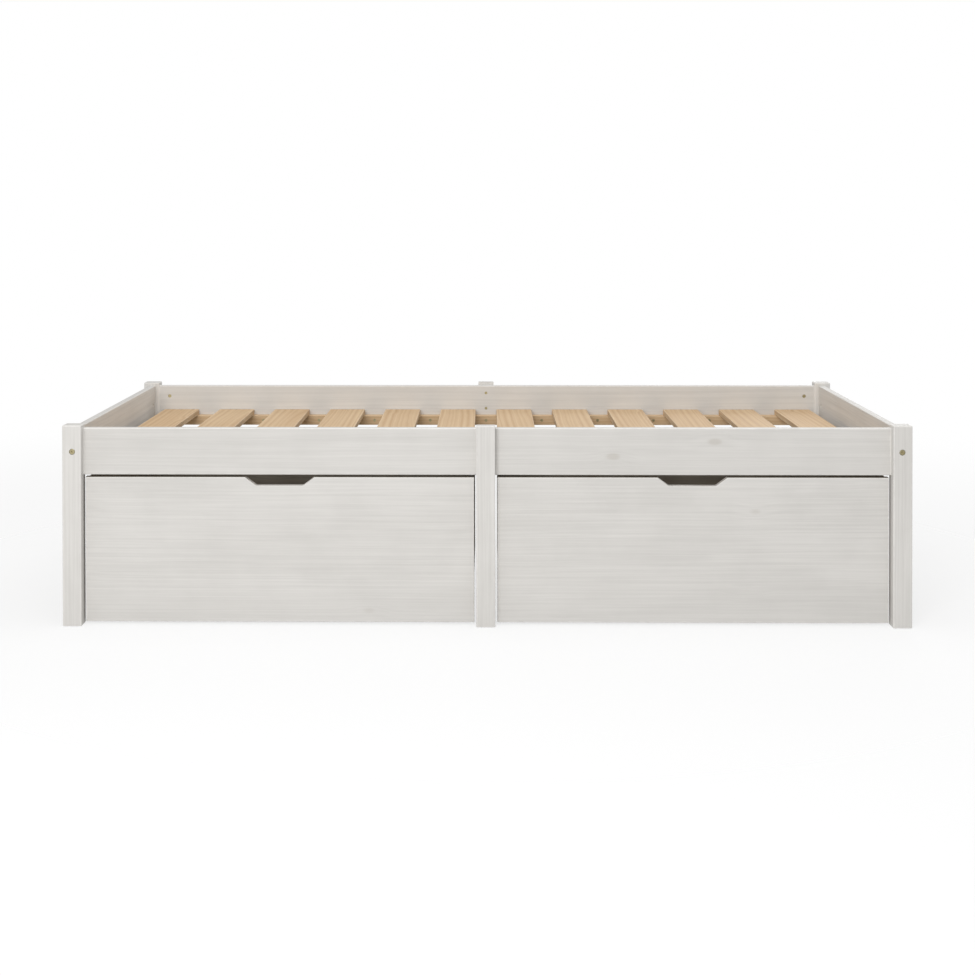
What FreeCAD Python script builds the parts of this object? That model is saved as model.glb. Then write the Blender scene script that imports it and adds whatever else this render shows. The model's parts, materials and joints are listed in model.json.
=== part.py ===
import FreeCAD, Part

import os
from math import cos, radians, sin

# Single bed frame of whitewashed pine with two large drawers that roll out at the front.
# Millimetres. X runs along the bed, -Y is the front with the drawers, +Z is up.
# The origin is on the floor, under the middle of the bed.

# Overall size
LENGTH = 1970.0
WIDTH = 970.0
HEIGHT = 468.0

# Posts and centre legs: square timber
POST = 44.0
POST_EASE = 3.0
POST_END_EASE = 2.0

# Side and end rails: a side rail's inner face lies a step outside the posts' inner faces,
# and an end rail's middle a little inside the posts' middle
RAIL_THICK = 18.0
RAIL_HIGH = 110.0
RAIL_DROP = 8.0
RAIL_STEP = 2.0
END_RAIL_INWARD = 1.5
RAIL_EASE = 3.0

# Ledges along the inside of the side rails, which carry the slats
LEDGE_WIDE = 25.0
LEDGE_HIGH = 27.0
LEDGE_EASE = 1.5

# Slats
SLAT_COUNT = 12
SLAT_WIDE = 100.0
SLAT_THICK = 15.0
SLAT_EASE = 2.0
SLAT_SIDE_GAP = 1.5
SLAT_END_GAP = 15.0

# Drawer fronts, with a finger notch in the top edge
DRAWER_SIDE_GAP = 5.0
DRAWER_TOP_GAP = 5.0
DRAWER_FLOOR_GAP = 6.0
FRONT_THICK = 18.0
FRONT_EASE = 2.0
NOTCH_TOP_WIDE = 164.0
NOTCH_BOTTOM_WIDE = 110.0
NOTCH_DEEP = 20.0
NOTCH_ROUND = 5.0
NOTCH_LIP_ROUND = 4.0

# Drawer boxes
BOX_INSET = 3.0
BOX_DEEP = 700.0
BOX_THICK = 15.0
BOX_HIGH = 308.0
BOX_EASE = 2.0
BOTTOM_THICK = 6.0
GROOVE_DEEP = 6.0
GROOVE_GAP = 0.5
BEARER_WIDE = 60.0
BEARER_THICK = 16.0

# Casters: fixed wheels in plastic housings, pegged into the bearers
WHEEL_RADIUS = 15.0
WHEEL_WIDE = 12.0
WHEEL_EASE = 1.5
HUB_RADIUS = 4.5
RIM_RADIUS = 11.0
WEB_RECESS = 2.5
WHEEL_SIDE_GAP = 1.0
WHEEL_TOP_GAP = 3.0
WHEEL_FROM_SIDE = 60.0
CHEEK_THICK = 2.5
CHEEK_RADIUS = 8.0
PLATE_THICK = 3.0
PLATE_LONG = 46.0
PLATE_WIDE = 30.0
PLATE_ROUND = 4.0
PEG_RADIUS = 3.0
PEG_HIGH = 10.0
PEG_SPREAD = 17.0
AXLE_RADIUS = 2.0
AXLE_HEAD_RADIUS = 3.5
AXLE_HEAD_THICK = 1.2

# Fasteners
BOLT_RADIUS = 3.0
BOLT_HEAD_RADIUS = 6.5
BOLT_HEAD_HIGH = 5.0
BOLT_HEAD_EASE = 0.8
BOLT_SINK = 0.4
BOLT_SOCKET_RADIUS = 2.3
BOLT_SOCKET_DEEP = 2.5
BOLT_TAIL = 6.0
SIDE_BOLT_SPREAD = 25.0
END_BOLT_RAISE = 2.0
NUT_RADIUS = 5.0
NUT_LONG = 14.0
NUT_INSET = 30.0
NUT_SLOT_WIDE = 1.2
NUT_SLOT_DEEP = 1.0
DOWEL_RADIUS = 4.0
DOWEL_LONG = 30.0
DOWEL_EASE = 1.0
DOWEL_SPREAD = 38.0
DOWEL_IN_FRONT = 10.0
SCREW_RADIUS = 2.0
SCREW_LONG = 35.0
SCREW_HEAD_RADIUS = 4.0
SCREW_HEAD_HIGH = 2.5
SCREW_TIP_HIGH = 5.0
SCREW_TIP_RADIUS = 0.5
SCREW_SINK = 0.2
SCREW_CROSS_LONG = 4.4
SCREW_CROSS_WIDE = 0.9
SCREW_CROSS_DEEP = 1.2
LEG_SCREW_SPREAD = 22.0
LEG_SCREW_RAISE = 12.0
CORNER_FIXING_COUNT = 3
CORNER_FIXING_MARGIN = 40.0
BEARER_SCREW_SPREAD = 17.0

# Clearances in radius, and past the end of a blind hole
RUNNING_GAP = 0.08
SNUG_GAP = 0.05
BOLT_GAP = 0.25
HEAD_GAP = 0.4
HOLE_END_GAP = 0.5

# Two places or directions closer than this are the same
SAME_PLACE = 1e-6

# Levels and planes that follow from the sizes above
HALF_LENGTH = LENGTH / 2
HALF_WIDTH = WIDTH / 2
RAIL_TOP = HEIGHT - RAIL_DROP
RAIL_BOTTOM = RAIL_TOP - RAIL_HIGH
RAIL_MIDDLE = (RAIL_TOP + RAIL_BOTTOM) / 2
POST_X = HALF_LENGTH - POST / 2
POST_INNER_X = HALF_LENGTH - POST
END_RAIL_X = POST_X - END_RAIL_INWARD
POST_INNER_Y = HALF_WIDTH - POST
RAIL_INNER_Y = POST_INNER_Y + RAIL_STEP
RAIL_OUTER_Y = RAIL_INNER_Y + RAIL_THICK
RAIL_Y = (RAIL_OUTER_Y + RAIL_INNER_Y) / 2
LEDGE_TOP = RAIL_BOTTOM + LEDGE_HIGH
LEDGE_INNER_Y = RAIL_INNER_Y - LEDGE_WIDE
LEDGE_Y = (RAIL_INNER_Y + LEDGE_INNER_Y) / 2
SLAT_TOP = LEDGE_TOP + SLAT_THICK
SLAT_PITCH = (2 * (POST_INNER_X - SLAT_END_GAP) - SLAT_WIDE) / (SLAT_COUNT - 1)
END_BOLT_Z = RAIL_MIDDLE + END_BOLT_RAISE
BOLT_REACH = POST + NUT_INSET + BOLT_TAIL

BAY_OUTER_X = POST_INNER_X
BAY_INNER_X = POST / 2
BAY_MIDDLE_X = (BAY_OUTER_X + BAY_INNER_X) / 2
FRONT_HALF = (BAY_OUTER_X - BAY_INNER_X) / 2 - DRAWER_SIDE_GAP
FRONT_TOP = RAIL_BOTTOM - DRAWER_TOP_GAP
FRONT_FACE_Y = -RAIL_OUTER_Y
FRONT_BACK_Y = FRONT_FACE_Y + FRONT_THICK
BOX_HALF = FRONT_HALF - BOX_INSET
BOX_INNER_HALF = BOX_HALF - BOX_THICK
BOX_BACK_Y = FRONT_BACK_Y + BOX_DEEP
BEARER_BOTTOM = 2 * WHEEL_RADIUS + WHEEL_TOP_GAP + PLATE_THICK
BEARER_TOP = BEARER_BOTTOM + BEARER_THICK
BOX_TOP = BEARER_BOTTOM + BOX_HIGH
WHEEL_X = BOX_INNER_HALF - WHEEL_FROM_SIDE
BEARER_FRONT_Y = FRONT_BACK_Y + BEARER_WIDE / 2
BEARER_BACK_Y = BOX_BACK_Y - BOX_THICK - BEARER_WIDE / 2
CHEEK_INNER = WHEEL_WIDE / 2 + WHEEL_SIDE_GAP
CHEEK_OUTER = CHEEK_INNER + CHEEK_THICK

BOTH = (-1, 1)
X = FreeCAD.Vector(1, 0, 0)
Y = FreeCAD.Vector(0, 1, 0)
Z = FreeCAD.Vector(0, 0, 1)


def vec(x, y, z):
    return FreeCAD.Vector(x, y, z)


def block(xs, ys, zs):
    """A box between two planes on each axis, given in either order."""
    low = vec(min(xs), min(ys), min(zs))
    size = vec(max(xs), max(ys), max(zs)) - low
    return Part.makeBox(size.x, size.y, size.z, low)


def ends(edge):
    return [vertex.Point for vertex in edge.Vertexes]


def runs_along(edge, axis):
    """Whether an edge is a straight one along the axis."""
    if edge.Curve.TypeId != "Part::GeomLine":
        return False
    return abs(abs(edge.tangentAt(edge.FirstParameter).dot(axis)) - 1) < SAME_PLACE


def eased(solid, radius, axis):
    """The solid with its straight edges along the axis rounded, as a planed board is."""
    return solid.makeFillet(radius, [e for e in solid.Edges if runs_along(e, axis)])


def eased_rim(solid, radius, axis, level):
    """The solid with the outline of its flat face at that level along the axis rounded."""
    rim = [e for e in solid.Edges if all(abs(p.dot(axis) - level) < SAME_PLACE for p in ends(e))]
    return solid.makeFillet(radius, rim)


def placed(shape, point, direction):
    """A shape made along +Z from the origin, moved to the point and turned to the direction."""
    moved = shape.copy()
    moved.Placement = FreeCAD.Placement(point, FreeCAD.Rotation(Z, direction)) * shape.Placement
    return moved


def group(shape, sites):
    return Part.makeCompound([placed(shape, point, direction) for point, direction in sites])


def drilled(board, tool, sites):
    """The board with the tool's shape cut out at each site that reaches it."""
    for point, direction in sites:
        cutter = placed(tool, point, direction)
        if board.BoundBox.intersect(cutter.BoundBox):
            board = board.cut(cutter)
    return board


def cylinder(radius, start, end):
    """A cylinder along +Z between two heights."""
    return Part.makeCylinder(radius, end - start, vec(0, 0, start))


# Fasteners and the holes for them: each is made along +Z, into the wood, from the surface at 0.

def bolt():
    """Socket-head furniture bolt, sunk just under the surface."""
    head = cylinder(BOLT_HEAD_RADIUS, BOLT_SINK, BOLT_SINK + BOLT_HEAD_HIGH)
    head = eased_rim(head, BOLT_HEAD_EASE, Z, BOLT_SINK)
    corners = [
        vec(BOLT_SOCKET_RADIUS * cos(radians(a)), BOLT_SOCKET_RADIUS * sin(radians(a)), BOLT_SINK)
        for a in range(0, 361, 60)
    ]
    socket = Part.Face(Part.makePolygon(corners)).extrude(Z * BOLT_SOCKET_DEEP)
    shank = cylinder(BOLT_RADIUS, BOLT_SINK + BOLT_HEAD_HIGH, BOLT_REACH)
    return head.cut(socket).fuse(shank).removeSplitter()


def bolt_hole():
    counterbore = cylinder(BOLT_HEAD_RADIUS + HEAD_GAP, 0, BOLT_SINK + BOLT_HEAD_HIGH)
    return counterbore.fuse(cylinder(BOLT_RADIUS + BOLT_GAP, 0, BOLT_REACH + HOLE_END_GAP))


def barrel_nut(turn):
    """Cross nut, centred on the origin, with the bolt's hole through it and a slot in line with it."""
    half = NUT_LONG / 2
    barrel = cylinder(NUT_RADIUS, -half, half)
    bore = Part.makeCylinder(BOLT_RADIUS + SNUG_GAP, 2 * NUT_RADIUS, vec(-NUT_RADIUS, 0, 0), X)
    slot = block((-NUT_RADIUS, NUT_RADIUS), (-NUT_SLOT_WIDE / 2, NUT_SLOT_WIDE / 2),
                 (half - NUT_SLOT_DEEP, half))
    nut = barrel.cut(bore).cut(slot)
    nut.rotate(vec(0, 0, 0), Z, turn)
    return nut


def nut_hole():
    """Hole for a cross nut, from the nut's far end out through the rail's inner face."""
    return cylinder(NUT_RADIUS + SNUG_GAP, -NUT_LONG / 2 - HOLE_END_GAP, RAIL_THICK)


def dowel():
    """Fluted dowel, plain here, centred on the joint between two boards."""
    half = DOWEL_LONG / 2
    rod = cylinder(DOWEL_RADIUS, -half, half)
    return rod.makeChamfer(DOWEL_EASE, [e for e in rod.Edges if len(e.Vertexes) == 1])


def dowel_hole():
    half = DOWEL_LONG / 2 + HOLE_END_GAP
    return cylinder(DOWEL_RADIUS + SNUG_GAP, -half, half)


def deep_set(shape):
    """A dowel or its hole moved along so that only a short end is in the drawer's thin front."""
    return shape.translated(vec(0, 0, DOWEL_LONG / 2 - DOWEL_IN_FRONT))


def screw_profile(gap, end_gap):
    """Countersunk head, shank and tip, wider by a gap for the hole."""
    head_end = SCREW_SINK + SCREW_HEAD_HIGH
    shank = SCREW_RADIUS + gap
    head = Part.makeCone(SCREW_HEAD_RADIUS + gap, shank, SCREW_HEAD_HIGH, vec(0, 0, SCREW_SINK))
    tip_start = SCREW_LONG - SCREW_TIP_HIGH
    body = cylinder(shank, head_end, tip_start + end_gap)
    tip = Part.makeCone(shank, SCREW_TIP_RADIUS + gap, SCREW_TIP_HIGH, vec(0, 0, tip_start + end_gap))
    return head.fuse(body).fuse(tip)


def screw():
    cross = block((-SCREW_CROSS_LONG / 2, SCREW_CROSS_LONG / 2),
                  (-SCREW_CROSS_WIDE / 2, SCREW_CROSS_WIDE / 2),
                  (SCREW_SINK, SCREW_SINK + SCREW_CROSS_DEEP))
    turned = cross.copy()
    turned.rotate(vec(0, 0, 0), Z, 90)
    return screw_profile(0, 0).cut(cross.fuse(turned)).removeSplitter()


def screw_hole():
    mouth = cylinder(SCREW_HEAD_RADIUS + SNUG_GAP, 0, SCREW_SINK)
    return screw_profile(SNUG_GAP, HOLE_END_GAP).fuse(mouth)


BOLT_HOLE = bolt_hole()
NUT_HOLE = nut_hole()
DOWEL_HOLE = dowel_hole()
SCREW_HOLE = screw_hole()


# Where the frame's fasteners sit

END_BOLTS = [(vec(sx * END_RAIL_X, sy * HALF_WIDTH, END_BOLT_Z), Y * -sy) for sx in BOTH for sy in BOTH]
SIDE_BOLTS = [
    (vec(sx * HALF_LENGTH, sy * RAIL_Y, RAIL_MIDDLE + up * SIDE_BOLT_SPREAD), X * -sx)
    for sx in BOTH for sy in BOTH for up in BOTH
]
BOLTS = END_BOLTS + SIDE_BOLTS
END_NUTS = [
    (vec(sx * END_RAIL_X, sy * (POST_INNER_Y - NUT_INSET), END_BOLT_Z), X * -sx)
    for sx in BOTH for sy in BOTH
]
SIDE_NUTS = [
    (vec(sx * (POST_INNER_X - NUT_INSET), sy * RAIL_Y, RAIL_MIDDLE + up * SIDE_BOLT_SPREAD), Y * -sy)
    for sx in BOTH for sy in BOTH for up in BOTH
]
RAIL_DOWELS = [
    (vec(sx * END_RAIL_X, sy * POST_INNER_Y, RAIL_MIDDLE + up * DOWEL_SPREAD), Y * sy)
    for sx in BOTH for sy in BOTH for up in BOTH
]
SLAT_XS = [(i - (SLAT_COUNT - 1) / 2) * SLAT_PITCH for i in range(SLAT_COUNT)]
GAP_XS = [x + SLAT_PITCH / 2 for x in SLAT_XS[:-1]]
SLAT_SCREWS = [(vec(x, sy * LEDGE_Y, SLAT_TOP), Z * -1) for x in SLAT_XS for sy in BOTH]
LEDGE_SCREWS = [
    (vec(x, sy * LEDGE_INNER_Y, (RAIL_BOTTOM + LEDGE_TOP) / 2), Y * sy) for x in GAP_XS for sy in BOTH
]
LEG_SCREWS = [
    (vec(0, sy * RAIL_INNER_Y, RAIL_MIDDLE + LEG_SCREW_RAISE + up * LEG_SCREW_SPREAD), Y * sy)
    for sy in BOTH for up in BOTH
]


# The frame's wooden parts

def post(sx, sy):
    """Corner post with the bolts' holes and counterbores and the end rail's dowel holes."""
    timber = block((sx * POST_INNER_X, sx * HALF_LENGTH), (sy * POST_INNER_Y, sy * HALF_WIDTH), (0, HEIGHT))
    timber = eased(timber, POST_EASE, Z)
    for level in (0, HEIGHT):
        timber = eased_rim(timber, POST_END_EASE, Z, level)
    timber = drilled(timber, BOLT_HOLE, BOLTS)
    return drilled(timber, DOWEL_HOLE, RAIL_DOWELS)


def centre_leg(sy):
    """Leg under the middle of a side rail, cut back behind so that the rail runs past in one piece."""
    half = POST / 2
    timber = block((-half, half), (sy * POST_INNER_Y, sy * HALF_WIDTH), (0, HEIGHT))
    timber = eased(timber, POST_EASE, Z)
    for level in (0, HEIGHT):
        timber = eased_rim(timber, POST_END_EASE, Z, level)
    halving = block((-POST, POST), (sy * POST_INNER_Y, sy * RAIL_OUTER_Y), (RAIL_BOTTOM, HEIGHT))
    return drilled(timber.cut(halving), SCREW_HOLE, LEG_SCREWS)


def side_rail(sy):
    """Long rail between two corner posts, with its bolt, nut and screw holes."""
    board = block((-POST_INNER_X, POST_INNER_X), (sy * RAIL_INNER_Y, sy * RAIL_OUTER_Y),
                  (RAIL_BOTTOM, RAIL_TOP))
    board = eased(board, RAIL_EASE, X)
    board = drilled(board, BOLT_HOLE, SIDE_BOLTS)
    board = drilled(board, NUT_HOLE, SIDE_NUTS)
    return drilled(board, SCREW_HOLE, LEDGE_SCREWS + LEG_SCREWS)


def end_rail(sx):
    """Short rail between two corner posts, near the middle of their thickness."""
    board = block((sx * (END_RAIL_X - RAIL_THICK / 2), sx * (END_RAIL_X + RAIL_THICK / 2)),
                  (-POST_INNER_Y, POST_INNER_Y), (RAIL_BOTTOM, RAIL_TOP))
    board = eased(board, RAIL_EASE, Y)
    board = drilled(board, BOLT_HOLE, END_BOLTS)
    board = drilled(board, NUT_HOLE, END_NUTS)
    return drilled(board, DOWEL_HOLE, RAIL_DOWELS)


def slat_ledge(sy):
    strip = block((-POST_INNER_X, POST_INNER_X), (sy * LEDGE_INNER_Y, sy * RAIL_INNER_Y),
                  (RAIL_BOTTOM, LEDGE_TOP))
    strip = eased(strip, LEDGE_EASE, X)
    return drilled(strip, SCREW_HOLE, SLAT_SCREWS + LEDGE_SCREWS)


def slat(x):
    reach = RAIL_INNER_Y - SLAT_SIDE_GAP
    board = block((x - SLAT_WIDE / 2, x + SLAT_WIDE / 2), (-reach, reach), (LEDGE_TOP, SLAT_TOP))
    return drilled(eased(board, SLAT_EASE, Y), SCREW_HOLE, SLAT_SCREWS)


# One drawer, about its own middle plane at x = 0: it is moved along X to its bay afterwards.

def drawer_sites():
    """Where a drawer's screws and dowels sit: those at its corners share their levels."""
    low = BEARER_TOP + CORNER_FIXING_MARGIN
    step = (BOX_TOP - CORNER_FIXING_MARGIN - low) / (CORNER_FIXING_COUNT - 1)
    levels = [low + i * step for i in range(CORNER_FIXING_COUNT)]
    back_y = BOX_BACK_Y - BOX_THICK / 2
    bearer_z = (BEARER_BOTTOM + BEARER_TOP) / 2
    screws = []
    for sx in BOTH:
        screws += [(vec(sx * BOX_HALF, back_y, z), X * -sx) for z in levels]
        for y in (BEARER_FRONT_Y, BEARER_BACK_Y):
            for along in BOTH:
                screws.append((vec(sx * BOX_HALF, y + along * BEARER_SCREW_SPREAD, bearer_z), X * -sx))
    dowels = [(vec(sx * (BOX_HALF - BOX_THICK / 2), FRONT_BACK_Y, z), Y) for sx in BOTH for z in levels]
    return screws, dowels


def bottom_panel(gap):
    """The drawer's bottom: grown by a gap, it is the groove that holds it."""
    side = BOX_INNER_HALF + GROOVE_DEEP - GROOVE_GAP + gap
    front = FRONT_BACK_Y - GROOVE_DEEP + GROOVE_GAP - gap
    back = BOX_BACK_Y - BOX_THICK + GROOVE_DEEP - GROOVE_GAP + gap
    return block((-side, side), (front, back), (BEARER_TOP, BEARER_TOP + BOTTOM_THICK))


def front_outline():
    """The front's face seen from the bed's front: a rectangle with a finger notch in its top edge."""
    top, low = FRONT_TOP, FRONT_TOP - NOTCH_DEEP
    wide, narrow = NOTCH_TOP_WIDE / 2, NOTCH_BOTTOM_WIDE / 2
    points = [
        (-FRONT_HALF, DRAWER_FLOOR_GAP), (-FRONT_HALF, top), (-wide, top), (-narrow, low),
        (narrow, low), (wide, top), (FRONT_HALF, top), (FRONT_HALF, DRAWER_FLOOR_GAP),
    ]
    corners = [vec(x, FRONT_FACE_Y, z) for x, z in points]
    return Part.Face(Part.makePolygon(corners + corners[:1]))


def notch_corners(solid, half_width, level):
    """The two edges through the front's thickness where the notch's outline turns."""
    return [
        e for e in solid.Edges
        if runs_along(e, Y)
        and all(abs(abs(p.x) - half_width) < SAME_PLACE and abs(p.z - level) < SAME_PLACE for p in ends(e))
    ]


def drawer_front(dowels):
    board = front_outline().extrude(Y * FRONT_THICK)
    board = board.makeFillet(
        NOTCH_ROUND, notch_corners(board, NOTCH_BOTTOM_WIDE / 2, FRONT_TOP - NOTCH_DEEP))
    board = board.makeFillet(NOTCH_LIP_ROUND, notch_corners(board, NOTCH_TOP_WIDE / 2, FRONT_TOP))
    board = eased_rim(board, FRONT_EASE, Y, FRONT_FACE_Y)
    board = board.cut(bottom_panel(GROOVE_GAP))
    return drilled(board, deep_set(DOWEL_HOLE), dowels)


def box_side(sx, screws, dowels):
    board = block((sx * BOX_INNER_HALF, sx * BOX_HALF), (FRONT_BACK_Y, BOX_BACK_Y),
                  (BEARER_BOTTOM, BOX_TOP))
    board = eased(board, BOX_EASE, Y).cut(bottom_panel(GROOVE_GAP))
    return drilled(drilled(board, SCREW_HOLE, screws), deep_set(DOWEL_HOLE), dowels)


def box_back(screws):
    board = block((-BOX_INNER_HALF, BOX_INNER_HALF), (BOX_BACK_Y - BOX_THICK, BOX_BACK_Y),
                  (BEARER_BOTTOM, BOX_TOP))
    return drilled(eased(board, BOX_EASE, X).cut(bottom_panel(GROOVE_GAP)), SCREW_HOLE, screws)


def bearer(y, screws):
    """Strip under the bottom, between the sides, which carries two casters."""
    strip = block((-BOX_INNER_HALF, BOX_INNER_HALF), (y - BEARER_WIDE / 2, y + BEARER_WIDE / 2),
                  (BEARER_BOTTOM, BEARER_TOP))
    peg_hole = cylinder(PEG_RADIUS + SNUG_GAP, 0, PEG_HIGH + HOLE_END_GAP)
    pegs = [(vec(sx * WHEEL_X + up * PEG_SPREAD, y, BEARER_BOTTOM), Z) for sx in BOTH for up in BOTH]
    return drilled(drilled(strip, SCREW_HOLE, screws), peg_hole, pegs)


def caster_housing():
    """Plate with two pegs and two cheeks that hold the axle, about the wheel's middle."""
    plate_bottom = BEARER_BOTTOM - PLATE_THICK
    half_long, half_wide = PLATE_LONG / 2, PLATE_WIDE / 2
    housing = eased(block((-half_long, half_long), (-half_wide, half_wide), (plate_bottom, BEARER_BOTTOM)),
                    PLATE_ROUND, Z)
    for sx in BOTH:
        housing = housing.fuse(Part.makeCylinder(PEG_RADIUS, PEG_HIGH, vec(sx * PEG_SPREAD, 0, BEARER_BOTTOM)))
        cheek = block((sx * CHEEK_INNER, sx * CHEEK_OUTER), (-CHEEK_RADIUS, CHEEK_RADIUS),
                      (WHEEL_RADIUS, plate_bottom))
        nose = Part.makeCylinder(CHEEK_RADIUS, CHEEK_THICK, vec(sx * CHEEK_INNER, 0, WHEEL_RADIUS), X * sx)
        housing = housing.fuse(cheek).fuse(nose)
    hole = Part.makeCylinder(AXLE_RADIUS + SNUG_GAP, 2 * CHEEK_OUTER, vec(-CHEEK_OUTER, 0, WHEEL_RADIUS), X)
    return housing.cut(hole).removeSplitter()


def caster_axle():
    """Rivet axle with a head outside each cheek."""
    start = CHEEK_OUTER + AXLE_HEAD_THICK
    rod = Part.makeCylinder(AXLE_RADIUS, 2 * start, vec(-start, 0, WHEEL_RADIUS), X)
    for sx in BOTH:
        rod = rod.fuse(Part.makeCylinder(AXLE_HEAD_RADIUS, AXLE_HEAD_THICK,
                                         vec(sx * CHEEK_OUTER, 0, WHEEL_RADIUS), X * sx))
    return rod.removeSplitter()


def wheel():
    """Plastic wheel with a recessed web between its hub and its rim."""
    half = WHEEL_WIDE / 2
    disc = cylinder(WHEEL_RADIUS, -half, half)
    disc = disc.makeFillet(WHEEL_EASE, [e for e in disc.Edges if len(e.Vertexes) == 1])
    for sx in BOTH:
        inner, outer = half - WEB_RECESS, half
        ring = cylinder(RIM_RADIUS, inner, outer).cut(cylinder(HUB_RADIUS, inner, outer))
        disc = disc.cut(placed(ring, vec(0, 0, 0), Z * sx))
    disc = disc.cut(cylinder(AXLE_RADIUS + RUNNING_GAP, -half, half))
    return placed(disc, vec(0, 0, WHEEL_RADIUS), X)


def drawer():
    """Every node of one drawer, by the name it has after the drawer's own."""
    screws, dowels = drawer_sites()
    nodes = {
        "front": drawer_front(dowels),
        "side_left": box_side(-1, screws, dowels),
        "side_right": box_side(1, screws, dowels),
        "back": box_back(screws),
        "bottom": bottom_panel(0),
        "bearer_front": bearer(BEARER_FRONT_Y, screws),
        "bearer_back": bearer(BEARER_BACK_Y, screws),
        "dowels": group(deep_set(dowel()), dowels),
        "screws": group(screw(), screws),
    }
    corners = {
        f"{along}_{across}": vec(sx * WHEEL_X, y, 0)
        for along, y in (("front", BEARER_FRONT_Y), ("back", BEARER_BACK_Y))
        for across, sx in (("left", -1), ("right", 1))
    }
    nodes["caster_housings"] = Part.makeCompound([caster_housing().translated(at) for at in corners.values()])
    nodes["caster_axles"] = Part.makeCompound([caster_axle().translated(at) for at in corners.values()])
    for corner, at in corners.items():
        nodes[f"wheel_{corner}"] = wheel().translated(at)
    return nodes


def bed():
    """Every node of the bed by name."""
    nodes = {}
    for depth, sy in (("front", -1), ("back", 1)):
        for side, sx in (("left", -1), ("right", 1)):
            nodes[f"post_{depth}_{side}"] = post(sx, sy)
        nodes[f"centre_leg_{depth}"] = centre_leg(sy)
        nodes[f"side_rail_{depth}"] = side_rail(sy)
        nodes[f"slat_ledge_{depth}"] = slat_ledge(sy)
    for side, sx in (("left", -1), ("right", 1)):
        nodes[f"end_rail_{side}"] = end_rail(sx)
    for number, x in enumerate(SLAT_XS, 1):
        nodes[f"slat_{number:02d}"] = slat(x)
    nodes["frame_bolts"] = group(bolt(), BOLTS)
    nuts = group(barrel_nut(90), END_NUTS).Solids + group(barrel_nut(0), SIDE_NUTS).Solids
    nodes["barrel_nuts"] = Part.makeCompound(nuts)
    nodes["rail_dowels"] = group(dowel(), RAIL_DOWELS)
    nodes["slat_screws"] = group(screw(), SLAT_SCREWS)
    nodes["ledge_screws"] = group(screw(), LEDGE_SCREWS)
    nodes["centre_leg_screws"] = group(screw(), LEG_SCREWS)
    one_drawer = drawer()
    for side, sx in (("left", -1), ("right", 1)):
        for name, shape in one_drawer.items():
            nodes[f"drawer_{side}_{name}"] = shape.translated(vec(sx * BAY_MIDDLE_X, 0, 0))
    return nodes


os.makedirs("parts", exist_ok=True)
for node, shape in bed().items():
    if not shape.isValid() or not shape.Solids:
        raise ValueError(f"{node} is not a valid solid")
    shape.exportStep(f"parts/{node}.step")
    print(f"{node}: {len(shape.Solids)} solid(s), {shape.Volume / 1000:.1f} cm3")
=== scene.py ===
import json
import math
import random

import bpy
from mathutils import Euler, Matrix, Vector


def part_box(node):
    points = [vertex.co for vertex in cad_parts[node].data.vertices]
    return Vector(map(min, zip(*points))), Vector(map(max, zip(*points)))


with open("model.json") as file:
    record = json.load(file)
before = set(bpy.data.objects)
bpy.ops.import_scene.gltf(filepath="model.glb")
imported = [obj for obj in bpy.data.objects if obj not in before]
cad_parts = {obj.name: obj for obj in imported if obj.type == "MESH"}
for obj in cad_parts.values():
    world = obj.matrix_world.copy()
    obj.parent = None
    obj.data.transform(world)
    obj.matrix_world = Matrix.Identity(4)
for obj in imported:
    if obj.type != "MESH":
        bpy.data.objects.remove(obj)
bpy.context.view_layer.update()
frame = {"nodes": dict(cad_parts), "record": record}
scene = bpy.context.scene
rng = random.Random(20)

# Camera: almost level, in front of the bed's middle and higher than its rails. Angles in degrees.
LENS_MM = 61.49
SENSOR_MM = 36.0
CAMERA_AT = (0.005, -4.335, 0.9819)
CAMERA_PITCH = -0.698
CAMERA_TURN = 0.884
CAMERA_ROLL = -0.075
CAMERA_SHIFT_X = 0.0263
CAMERA_SHIFT_Y = -0.27

# Light: radiance of the surroundings, and each soft box's place, aim, size and power
SKY_LIGHT = 0.55
SOFT_BOXES = {
    "key": ((-1.1, -4.85, 2.1), (0.0, -0.45, 0.25), 2.4, 120.0),
    "top": ((0.0, -0.8, 3.6), (0.0, -0.3, 0.0), 4.5, 44.0),
    "back_fill": ((1.8, 3.6, 2.4), (0.0, 0.2, 0.2), 2.6, 30.0),
}

# Floor: it fades with distance from the bed, from its share at the bed to nothing, and leaves plain white
FLOOR_COLOUR = (0.90, 0.90, 0.90)
FLOOR_HALF = 6.0
FLOOR_DROP = 0.0004
FLOOR_FADE_FROM = 1.25
FLOOR_FADE_TO = 3.6
FLOOR_SOLID = 0.28

# Whitewashed pine: reflectances, the share of each grain in the thin spots of the wash, and bump height. The
# pale edge colour is partly wear and partly a painted highlight.
WASH_LIGHT = (0.715, 0.695, 0.664)
WASH_DARK = (0.560, 0.544, 0.517)
WASH_EDGE_WEAR_AND_HIGHLIGHT = (0.830, 0.812, 0.778)
WASH_PITH = (0.655, 0.632, 0.594)
WASH_KNOT = (0.470, 0.435, 0.385)
WASH_THIN = {"Rings": 0.17, "Fibre": 0.13, "Streak": 0.26, "Cloud": 0.24, "Patch": 0.16}
WASH_PITH_SHARE = 0.10
WASH_KNOT_SHARE = 0.42
WASH_EDGE_WEAR_AND_HIGHLIGHT_SHARE = 0.55
WASH_BUMP = 0.00025
# Painted shade: the height in metres up to which the wash darkens towards the floor
FLOOR_SHADE_HIGH = 0.13

# Bare pine, in the same way
PINE_LIGHT = (0.700, 0.520, 0.325)
PINE_DARK = (0.470, 0.270, 0.115)
# Pale edge colour: partly wear, partly a painted highlight
PINE_EDGE_WEAR_AND_HIGHLIGHT = (0.780, 0.620, 0.430)
PINE_KNOT = (0.190, 0.085, 0.035)
PINE_STREAKS = {"Rings": 0.42, "Fibre": 0.14, "Cloud": 0.14}
PINE_KNOT_SHARE = 0.85
PINE_EDGE_WEAR_AND_HIGHLIGHT_SHARE = 0.45
PINE_BUMP = 0.0003
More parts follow.
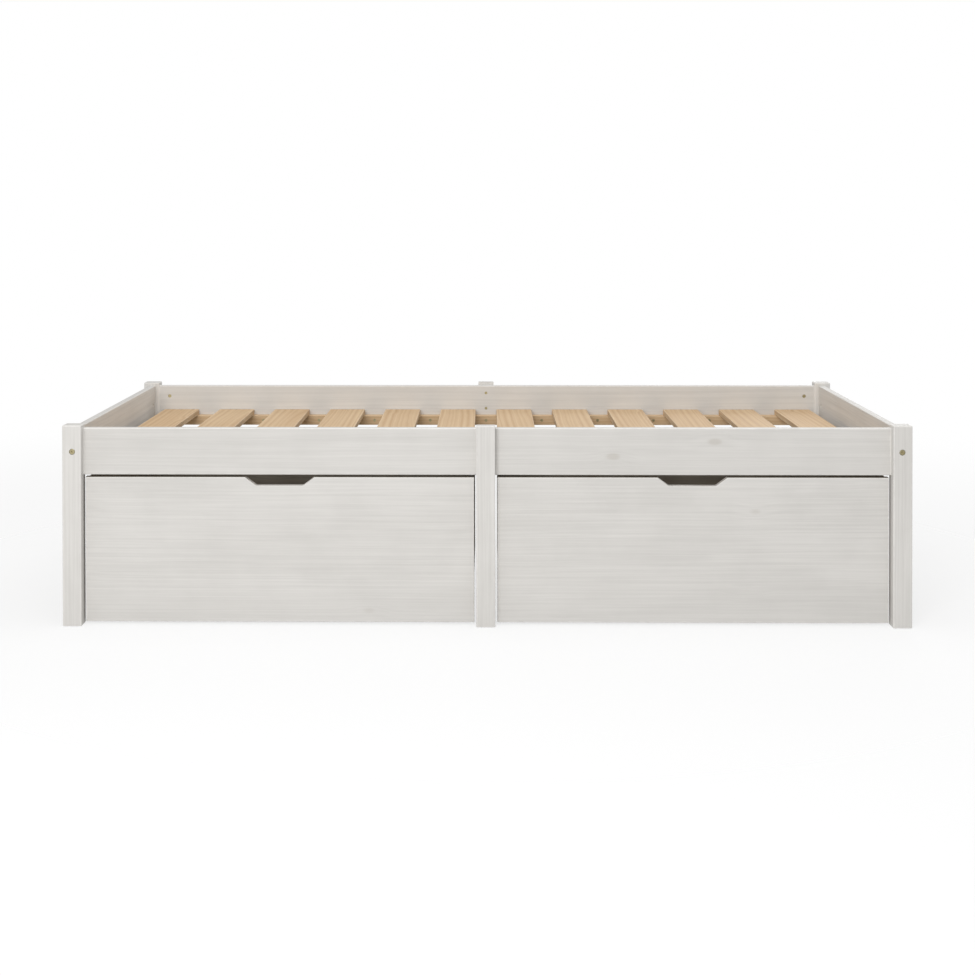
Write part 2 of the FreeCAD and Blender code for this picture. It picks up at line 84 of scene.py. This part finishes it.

# Pine of the drawer boxes, under a thin grey-beige stain, made darker still as painted shade for the dark
# inside of the drawer bay
SHADED_STAIN_LIGHT = (0.310, 0.282, 0.238)
SHADED_STAIN_DARK = (0.190, 0.168, 0.138)
SHADED_STAIN_EDGE_WEAR_AND_HIGHLIGHT = (0.380, 0.350, 0.300)
SHADED_STAIN_KNOT = (0.090, 0.074, 0.056)
# Painted shade: how far down each drawer front's top edge is painted dark, for the gap under the rail
GAP_SHADE_DEEP = 0.0012

# Fittings and boards: reflectances
FELT_LIGHT = (0.40, 0.355, 0.295)
FELT_DARK = (0.28, 0.245, 0.200)
FELT_FLECK = (0.20, 0.17, 0.13)
FELT_CLOUD = (0.46, 0.41, 0.35)
BEECH_LIGHT = (0.66, 0.46, 0.28)
BEECH_DARK = (0.56, 0.37, 0.21)
BEECH_FLECK = (0.36, 0.20, 0.10)
ZINC_LIGHT = (0.52, 0.46, 0.29)
ZINC_DARK = (0.38, 0.33, 0.19)
STEEL_LIGHT = (0.62, 0.62, 0.62)
STEEL_DARK = (0.47, 0.47, 0.48)
HOUSING = (0.030, 0.030, 0.033)
HOUSING_WORN = (0.075, 0.075, 0.078)
WHEEL = (0.150, 0.150, 0.155)
WHEEL_WORN = (0.260, 0.255, 0.250)

# How pine is made up. Repeats are per metre, along the grain and twice across it. A knot's radii are shares
# of its cell, and its swell and the rings' bends are in metres.
KNOT_CELLS = (4.6, 2.4, 9.5)
KNOTLESS_SHARE = 0.62
KNOT_CORE_RADIUS = 0.04
KNOT_RADIUS = 0.10
KNOT_SWELL_RADIUS = 0.34
KNOT_SWELL = 0.011
SLOW_BEND_REPEATS = (0.9, 4.0, 4.0)
SLOW_BEND = 0.040
QUICK_BEND_REPEATS = (6.0, 22.0, 22.0)
QUICK_BEND = 0.0050
RING_REPEATS = 125.0
FIBRE_REPEATS = (9.0, 620.0, 620.0)
STREAK_REPEATS = (3.0, 210.0, 210.0)
CLOUD_REPEATS = (2.2, 9.0, 9.0)
PATCH_REPEATS = (11.0, 14.0, 14.0)
# Pale board edges, partly wear and partly a painted highlight: their width in metres and the repeats of their
# uneven reach
EDGE_WIDE = 0.004
EDGE_WEAR_AND_HIGHLIGHT_REPEATS = (60.0, 60.0, 60.0)
GRAIN_SPREAD = 40.0

# Whitewashed boards: the grain's direction, how far the board's middle lies from the tree's pith in its two
# short directions, its tone, and how strongly painted shade darkens it towards the floor
WHITE_BOARDS = {
    "post": ("Z", (0.030, 0.045), 1.01, 0.25),
    "centre_leg": ("Z", (0.026, 0.050), 1.0, 0.25),
    "side_rail": ("X", (0.060, 0.085), 0.95, 0.0),
    "end_rail": ("Y", (0.055, 0.075), 1.0, 0.0),
    "drawer_front": ("X", (0.110, 0.210), 0.98, 0.34),
}
# The same distance from the pith for ledges, boards of the drawer boxes and slats, which differ by some more
LEDGE_PITH = (0.020, 0.060)
BOX_PITH = (0.040, 0.075)
SLAT_PITH = (0.030, 0.045)
SLAT_PITH_SPREAD = 0.03
BOX_BOARDS = {"side_left": "Y", "side_right": "Y", "back": "X", "bearer_front": "X", "bearer_back": "X"}

# Turning the object's space so that the board's grain runs along X and its wide face lies across Y
GRAIN_TURN = {
    "X": (0.0, 0.0, 0.0),
    "Y": (0.0, 0.0, -math.pi / 2),
    "Z": (0.0, math.pi / 2, 0.0),
    "Y, lying flat": (-math.pi / 2, -math.pi / 2, 0.0),
}


class Graph:
    """Short ways to add and link nodes in one shader tree."""

    def __init__(self, tree):
        self.tree = tree

    def node(self, kind, inputs=None, **settings):
        made = self.tree.nodes.new("ShaderNode" + kind)
        for name, value in settings.items():
            setattr(made, name, value)
        for name, value in (inputs or {}).items():
            self.put(made.inputs[name], value)
        return made

    def put(self, socket, value):
        if isinstance(value, bpy.types.NodeSocket):
            self.tree.links.new(value, socket)
        elif socket.type == "RGBA" and len(value) == 3:
            socket.default_value = (*value, 1.0)
        else:
            socket.default_value = value

    def math(self, operation, a, b=0.0, clamp=False):
        return self.node("Math", {0: a, 1: b}, operation=operation, use_clamp=clamp).outputs[0]

    def vector(self, operation, a, b):
        return self.node("VectorMath", {0: a, 1: b}, operation=operation).outputs[0]

    def scaled(self, point, by):
        return self.vector("MULTIPLY", point, by)

    def noise(self, point, scale=1.0, detail=2.0, roughness=0.5):
        return self.node("TexNoise", {"Vector": point, "Scale": scale, "Detail": detail,
                                      "Roughness": roughness}).outputs[0]

    def line_noise(self, value, scale, detail, roughness):
        return self.node("TexNoise", {"W": value, "Scale": scale, "Detail": detail, "Roughness": roughness},
                         noise_dimensions="1D").outputs[0]

    def summed(self, values, weights):
        """The sum of some of the values, each by its weight, held between 0 and 1."""
        total = 0.0
        for name, weight in weights.items():
            total = self.math("ADD", self.math("MULTIPLY", values[name], weight), total, clamp=True)
        return total

    def ramp(self, value, low, high, to_low=0.0, to_high=1.0):
        """Value carried from low..high to to_low..to_high with soft ends."""
        return self.node("MapRange", {"Value": value, "From Min": low, "From Max": high, "To Min": to_low,
                                      "To Max": to_high}, interpolation_type="SMOOTHSTEP").outputs[0]

    def blend(self, factor, a, b):
        """Colour a where the factor is 0, and colour b where it is 1."""
        made = self.node("Mix", data_type="RGBA")
        self.put(made.inputs[0], factor)
        self.put(made.inputs[6], a)
        self.put(made.inputs[7], b)
        return made.outputs[2]


def new_group(name, inputs, outputs):
    """An empty node group with those sockets, its graph, its input node and its output node."""
    tree = bpy.data.node_groups.new(name, "ShaderNodeTree")
    for title, kind in inputs:
        tree.interface.new_socket(title, in_out="INPUT", socket_type=kind)
    for title in outputs:
        tree.interface.new_socket(title, in_out="OUTPUT", socket_type="NodeSocketFloat")
    g = Graph(tree)
    return tree, g, tree.nodes.new("NodeGroupInput"), tree.nodes.new("NodeGroupOutput")


def pine_group():
    """Growth rings round a pith that runs along X and bend past knots, fibres, and changes of tone."""
    tree, g, start, end = new_group(
        "pine", [("Vector", "NodeSocketVector")], ["Rings", "Fibre", "Streak", "Cloud", "Patch", "Knot"])
    point = start.outputs["Vector"]
    spots = g.node("TexVoronoi", {"Vector": g.scaled(point, KNOT_CELLS), "Scale": 1.0, "Randomness": 1.0})
    lot = g.node("SeparateColor", {0: spots.outputs["Color"]}).outputs[0]
    chosen = g.math("GREATER_THAN", lot, KNOTLESS_SHARE)
    near = g.ramp(spots.outputs["Distance"], KNOT_CORE_RADIUS, KNOT_RADIUS, 1.0, 0.0)
    swell = g.math("MULTIPLY", g.ramp(spots.outputs["Distance"], 0.0, KNOT_SWELL_RADIUS, 1.0, 0.0), chosen)
    g.put(end.inputs["Knot"], g.math("MULTIPLY", near, chosen))
    slow = g.noise(g.scaled(point, SLOW_BEND_REPEATS), detail=1.0)
    quick = g.noise(g.scaled(point, QUICK_BEND_REPEATS), detail=2.0)
    parts = g.node("SeparateXYZ", {0: point})
    from_pith = g.math("SQRT", g.math("ADD", g.math("POWER", parts.outputs[1], 2.0),
                                      g.math("POWER", parts.outputs[2], 2.0)))
    bend = g.math("ADD", g.math("MULTIPLY", slow, SLOW_BEND), g.math("MULTIPLY", quick, QUICK_BEND))
    bent = g.math("ADD", from_pith, g.math("ADD", bend, g.math("MULTIPLY", swell, KNOT_SWELL)))
    g.put(end.inputs["Rings"], g.ramp(g.line_noise(bent, RING_REPEATS, 2.0, 0.6), 0.34, 0.68))
    fibre = g.noise(g.scaled(point, FIBRE_REPEATS), detail=3.0, roughness=0.6)
    g.put(end.inputs["Fibre"], g.ramp(fibre, 0.32, 0.68))
    streak = g.noise(g.scaled(point, STREAK_REPEATS), detail=2.0, roughness=0.6)
    g.put(end.inputs["Streak"], g.ramp(streak, 0.34, 0.66))
    cloud = g.noise(g.scaled(point, CLOUD_REPEATS), detail=3.0)
    g.put(end.inputs["Cloud"], g.ramp(cloud, 0.3, 0.7))
    patch = g.noise(g.scaled(point, PATCH_REPEATS), detail=3.0)
    g.put(end.inputs["Patch"], g.ramp(patch, 0.36, 0.7))
    return tree


def edge_group():
    """How near a point of a board's surface is to the board's own edges: 1 on an edge, 0 from Width away."""
    tree, g, start, end = new_group(
        "board_edges",
        [("Point", "NodeSocketVector"), ("Low", "NodeSocketVector"), ("High", "NodeSocketVector"),
         ("Width", "NodeSocketFloat")],
        ["Edge"])
    inside = g.vector("MINIMUM", g.vector("SUBTRACT", start.outputs["Point"], start.outputs["Low"]),
                      g.vector("SUBTRACT", start.outputs["High"], start.outputs["Point"]))
    a, b, c = g.node("SeparateXYZ", {0: inside}).outputs
    middle = g.math("MAXIMUM", g.math("MINIMUM", a, b), g.math("MINIMUM", g.math("MAXIMUM", a, b), c))
    worn = g.noise(g.scaled(start.outputs["Point"], EDGE_WEAR_AND_HIGHLIGHT_REPEATS), detail=3.0)
    reach = g.math("MULTIPLY", start.outputs["Width"], g.ramp(worn, 0.25, 0.75, 0.65, 1.35))
    g.put(end.inputs["Edge"], g.ramp(middle, 0.0, reach, 1.0, 0.0))
    return tree


PINE_GROUP = pine_group()
EDGE_GROUP = edge_group()


def new_material(name, **sockets):
    """A material, its graph, its Principled shader and the object's own coordinates."""
    material = bpy.data.materials.new(name)
    material.use_nodes = True
    material.node_tree.nodes.clear()
    g = Graph(material.node_tree)
    shader = g.node("BsdfPrincipled", sockets)
    g.node("OutputMaterial", {"Surface": shader.outputs[0]})
    return material, g, shader, g.node("TexCoord").outputs["Object"]


def finish_surface(g, shader, colour, roughness, height, depth, strength):
    """Links colour and roughness to the shader, and a bump of that height pattern and depth in metres."""
    g.put(shader.inputs["Base Color"], colour)
    g.put(shader.inputs["Roughness"], roughness)
    bump = g.node("Bump", {"Strength": strength, "Distance": depth, "Height": height})
    g.put(shader.inputs["Normal"], bump.outputs[0])


def grain_of(g, point, node, axis, pith):
    """The pine group in a board's own grain space, a new stretch of the tree each time, and the board's
    edge mask."""
    low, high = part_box(node)
    middle = (low + high) / 2
    turn = Euler(GRAIN_TURN[axis])
    shift = Vector((rng.uniform(-GRAIN_SPREAD, GRAIN_SPREAD), pith[0] * rng.choice((-1, 1)),
                    pith[1] * rng.choice((-1, 1))))
    place = shift - turn.to_matrix() @ middle
    place.x = shift.x
    turned = g.node("Mapping", {"Vector": point, "Location": place, "Rotation": GRAIN_TURN[axis]},
                    vector_type="POINT")
    pine = g.node("Group", node_tree=PINE_GROUP)
    g.put(pine.inputs["Vector"], turned.outputs[0])
    edge = g.node("Group", node_tree=EDGE_GROUP)
    for title, value in (("Point", point), ("Low", low), ("High", high), ("Width", EDGE_WIDE)):
        g.put(edge.inputs[title], value)
    return pine.outputs, edge.outputs["Edge"]


def whitewash(node, axis, pith, tone, floor_shade, gap_shaded_top=False):
    """Satin whitewash over pine: faint grey streaks where the wash sits thinner, pale eased edges that are
    partly wear and partly a painted highlight, and painted shade that darkens it towards the floor.

    A gap-shaded top has its upper edge painted in the dark stain of the drawer boxes, as painted shade for
    the gap under the rail."""
    material, g, shader, point = new_material(
        "whitewashed_" + node, **{"Coat Weight": 0.04, "Coat Roughness": 0.35, "IOR": 1.42})
    pine, edge = grain_of(g, point, node, axis, pith)
    thin = g.summed(pine, WASH_THIN)
    light = tuple(channel * tone for channel in WASH_LIGHT)
    colour = g.blend(thin, light, WASH_DARK)
    colour = g.blend(g.math("MULTIPLY", pine["Cloud"], WASH_PITH_SHARE), colour, WASH_PITH)
    colour = g.blend(g.math("MULTIPLY", pine["Knot"], WASH_KNOT_SHARE), colour, WASH_KNOT)
    level = g.node("SeparateXYZ", {0: point}).outputs[2]
    # Painted shade: the wash darkens towards the floor, up to the given height
    colour = g.blend(g.ramp(level, 0.0, FLOOR_SHADE_HIGH, floor_shade, 0.0), colour, WASH_DARK)
    # Pale edges: partly wear, partly a painted highlight along the eased edges
    colour = g.blend(g.math("MULTIPLY", edge, WASH_EDGE_WEAR_AND_HIGHLIGHT_SHARE), colour, WASH_EDGE_WEAR_AND_HIGHLIGHT)
    # Painted shade: the drawer front's top edge painted in the dark stain, for the dark gap under the rail
    if gap_shaded_top:
        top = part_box(node)[1].z
        colour = g.blend(g.ramp(level, top - GAP_SHADE_DEEP, top), colour, SHADED_STAIN_DARK)
    roughness = g.ramp(g.math("ADD", pine["Rings"], pine["Fibre"]), 0.0, 2.0, 0.42, 0.58)
    height = g.math("ADD", g.math("MULTIPLY", pine["Rings"], 0.45), g.math("MULTIPLY", pine["Fibre"], 0.55))
    finish_surface(g, shader, colour, roughness, height, WASH_BUMP, 0.4)
    return material


def plain_pine(node, axis, pith, light=PINE_LIGHT, dark=PINE_DARK, worn=PINE_EDGE_WEAR_AND_HIGHLIGHT, knot=PINE_KNOT):
    """Planed pine with its rings and the odd knot, bare unless other tones are given."""
    material, g, shader, point = new_material("pine_" + node, IOR=1.46)
    pine, edge = grain_of(g, point, node, axis, pith)
    colour = g.blend(g.summed(pine, PINE_STREAKS), light, dark)
    colour = g.blend(g.math("MULTIPLY", pine["Knot"], PINE_KNOT_SHARE), colour, knot)
    # Pale edges: partly wear, partly a painted highlight
    colour = g.blend(g.math("MULTIPLY", edge, PINE_EDGE_WEAR_AND_HIGHLIGHT_SHARE), colour, worn)
    roughness = g.ramp(g.math("ADD", pine["Rings"], pine["Fibre"]), 0.0, 2.0, 0.72, 0.55)
    height = g.math("ADD", g.math("MULTIPLY", pine["Rings"], 0.5), g.math("MULTIPLY", pine["Fibre"], 0.5))
    finish_surface(g, shader, colour, roughness, height, PINE_BUMP, 0.5)
    return material


def fibreboard():
    """Thin pressed board: grey-brown with a fine felt of short fibres."""
    material, g, shader, point = new_material("fibreboard", IOR=1.45)
    felt = g.noise(g.scaled(point, (900.0, 900.0, 900.0)), detail=2.0, roughness=0.7)
    flecks = g.noise(g.scaled(point, (160.0, 420.0, 300.0)), detail=2.0)
    cloud = g.noise(g.scaled(point, (5.0, 5.0, 5.0)), detail=3.0)
    colour = g.blend(g.ramp(felt, 0.3, 0.7, 0.0, 0.55), FELT_LIGHT, FELT_DARK)
    colour = g.blend(g.ramp(flecks, 0.62, 0.78, 0.0, 0.5), colour, FELT_FLECK)
    colour = g.blend(g.ramp(cloud, 0.3, 0.7, 0.0, 0.25), colour, FELT_CLOUD)
    finish_surface(g, shader, colour, g.ramp(felt, 0.3, 0.7, 0.6, 0.78), felt, 0.0001, 0.4)
    return material


def beech():
    """Turned beech with its short dark flecks."""
    material, g, shader, point = new_material("beech", IOR=1.46)
    flecks = g.noise(g.scaled(point, (1400.0, 260.0, 1400.0)), detail=2.0)
    tone = g.noise(g.scaled(point, (70.0, 20.0, 70.0)), detail=2.0)
    colour = g.blend(g.ramp(tone, 0.3, 0.7), BEECH_LIGHT, BEECH_DARK)
    colour = g.blend(g.ramp(flecks, 0.6, 0.75, 0.0, 0.6), colour, BEECH_FLECK)
    finish_surface(g, shader, colour, g.ramp(flecks, 0.3, 0.7, 0.5, 0.65), flecks, 0.0001, 0.4)
    return material


def metal(name, light, dark, rough):
    """Plated steel: slow changes of tone, fine scratches and a mottled polish."""
    material, g, shader, point = new_material(name, Metallic=1.0)
    mottle = g.noise(g.scaled(point, (260.0, 260.0, 260.0)), detail=3.0)
    scratches = g.noise(g.scaled(point, (3200.0, 500.0, 900.0)), detail=2.0)
    colour = g.blend(g.ramp(mottle, 0.3, 0.7), light, dark)
    roughness = g.ramp(g.math("ADD", mottle, scratches), 0.7, 1.3, rough - 0.07, rough + 0.1)
    finish_surface(g, shader, colour, roughness, scratches, 0.00003, 0.35)
    return material


def plastic(name, colour, worn, rough):
    """Moulded plastic: a fine spark-eroded texture with duller, paler rubbed patches."""
    material, g, shader, point = new_material(name, IOR=1.5)
    texture = g.noise(g.scaled(point, (1500.0, 1500.0, 1500.0)), detail=2.0)
    rubbed = g.ramp(g.noise(g.scaled(point, (90.0, 90.0, 90.0)), detail=3.0), 0.45, 0.75, 0.0, 0.5)
    shade = g.blend(rubbed, colour, worn)
    finish_surface(g, shader, shade, g.ramp(texture, 0.3, 0.7, rough - 0.06, rough + 0.08), texture,
                   0.00006, 0.5)
    return material


def dress(node, material):
    """Gives a CAD node one material on all its faces."""
    mesh = frame["nodes"][node].data
    mesh.materials.clear()
    mesh.materials.append(material)


def dress_white(node, kind, gap_shaded_top=False):
    dress(node, whitewash(node, *WHITE_BOARDS[kind], gap_shaded_top))


def dress_wood():
    for depth in ("front", "back"):
        for side in ("left", "right"):
            dress_white(f"post_{depth}_{side}", "post")
        dress_white(f"centre_leg_{depth}", "centre_leg")
        dress_white(f"side_rail_{depth}", "side_rail")
        dress(f"slat_ledge_{depth}", plain_pine(f"slat_ledge_{depth}", "X", LEDGE_PITH))
    for side in ("left", "right"):
        dress_white(f"end_rail_{side}", "end_rail")
        dress_white(f"drawer_{side}_front", "drawer_front", gap_shaded_top=True)
        for part, axis in BOX_BOARDS.items():
            node = f"drawer_{side}_{part}"
            # Drawer boxes: stained pine whose dark tones are partly painted shade for the inside of the bay
            dress(node, plain_pine(node, axis, BOX_PITH, SHADED_STAIN_LIGHT, SHADED_STAIN_DARK, SHADED_STAIN_EDGE_WEAR_AND_HIGHLIGHT, SHADED_STAIN_KNOT))
    for node in sorted(frame["nodes"]):
        if node.startswith("slat_") and node[5:].isdigit():
            pith = tuple(place + rng.uniform(0, SLAT_PITH_SPREAD) for place in SLAT_PITH)
            dress(node, plain_pine(node, "Y, lying flat", pith))


def dress_rest():
    """Fittings, boards and plastics, one material for each of the record's slots."""
    by_slot = {
        "drawer_bottom_board": fibreboard(),
        "beech_dowel": beech(),
        "yellow_zinc": metal("yellow_zinc", ZINC_LIGHT, ZINC_DARK, 0.40),
        "axle_steel": metal("axle_steel", STEEL_LIGHT, STEEL_DARK, 0.30),
        "caster_plastic": plastic("caster_plastic", HOUSING, HOUSING_WORN, 0.42),
        "wheel_plastic": plastic("wheel_plastic", WHEEL, WHEEL_WORN, 0.50),
    }
    for part in frame["record"]["subparts"]:
        if part["material_slot"] in by_slot:
            dress(part["node"], by_slot[part["material_slot"]])


def add_floor():
    """A pale floor under the bed that thins out to the white surroundings."""
    mesh = bpy.data.meshes.new("floor")
    corners = [(x * FLOOR_HALF, y * FLOOR_HALF, -FLOOR_DROP) for x, y in ((-1, -1), (1, -1), (1, 1), (-1, 1))]
    mesh.from_pydata(corners, [], [(0, 1, 2, 3)])
    floor = bpy.data.objects.new("floor", mesh)
    scene.collection.objects.link(floor)
    material, g, shader, point = new_material("floor")
    shader.inputs["Base Color"].default_value = (*FLOOR_COLOUR, 1.0)
    shader.inputs["Roughness"].default_value = 0.9
    shader.inputs["Specular IOR Level"].default_value = 0.1
    far = g.node("VectorMath", {0: g.scaled(point, (1.0, 1.0, 0.0))}, operation="LENGTH").outputs["Value"]
    g.put(shader.inputs["Alpha"], g.ramp(far, FLOOR_FADE_FROM, FLOOR_FADE_TO, FLOOR_SOLID, 0.0))
    mesh.materials.append(material)


def add_lights():
    """The soft boxes, and surroundings that look white and light the bed less strongly."""
    for name, (at, aim, size, power) in SOFT_BOXES.items():
        light = bpy.data.lights.new(name, "AREA")
        light.shape = "DISK"
        light.size = size
        light.energy = power
        lamp = bpy.data.objects.new(name, light)
        lamp.location = at
        lamp.rotation_euler = (Vector(aim) - Vector(at)).to_track_quat("-Z", "Y").to_euler()
        lamp.visible_camera = False
        scene.collection.objects.link(lamp)
    world = bpy.data.worlds.new("studio")
    world.use_nodes = True
    world.node_tree.nodes.clear()
    g = Graph(world.node_tree)
    seen = g.node("Background", {"Color": (1.0, 1.0, 1.0), "Strength": 1.0})
    lighting = g.node("Background", {"Color": (1.0, 1.0, 1.0), "Strength": SKY_LIGHT})
    straight = g.node("LightPath").outputs["Is Camera Ray"]
    both = g.node("MixShader", {0: straight, 1: lighting.outputs[0], 2: seen.outputs[0]})
    g.node("OutputWorld", {"Surface": both.outputs[0]})
    scene.world = world


def add_camera():
    lens = bpy.data.cameras.new("camera")
    lens.lens = LENS_MM
    lens.sensor_width = SENSOR_MM
    lens.shift_x = CAMERA_SHIFT_X
    lens.shift_y = CAMERA_SHIFT_Y
    lens.clip_start = 0.05
    lens.clip_end = 200.0
    camera = bpy.data.objects.new("camera", lens)
    camera.location = CAMERA_AT
    turn, pitch, roll = (
        Matrix.Rotation(math.radians(angle), 3, axis)
        for angle, axis in ((CAMERA_TURN, "Z"), (90 + CAMERA_PITCH, "X"), (CAMERA_ROLL, "Z")))
    camera.rotation_euler = (turn @ pitch @ roll).to_euler()
    scene.collection.objects.link(camera)
    scene.camera = camera


dress_wood()
dress_rest()
add_floor()
add_lights()
add_camera()
scene.view_settings.view_transform = "Standard"
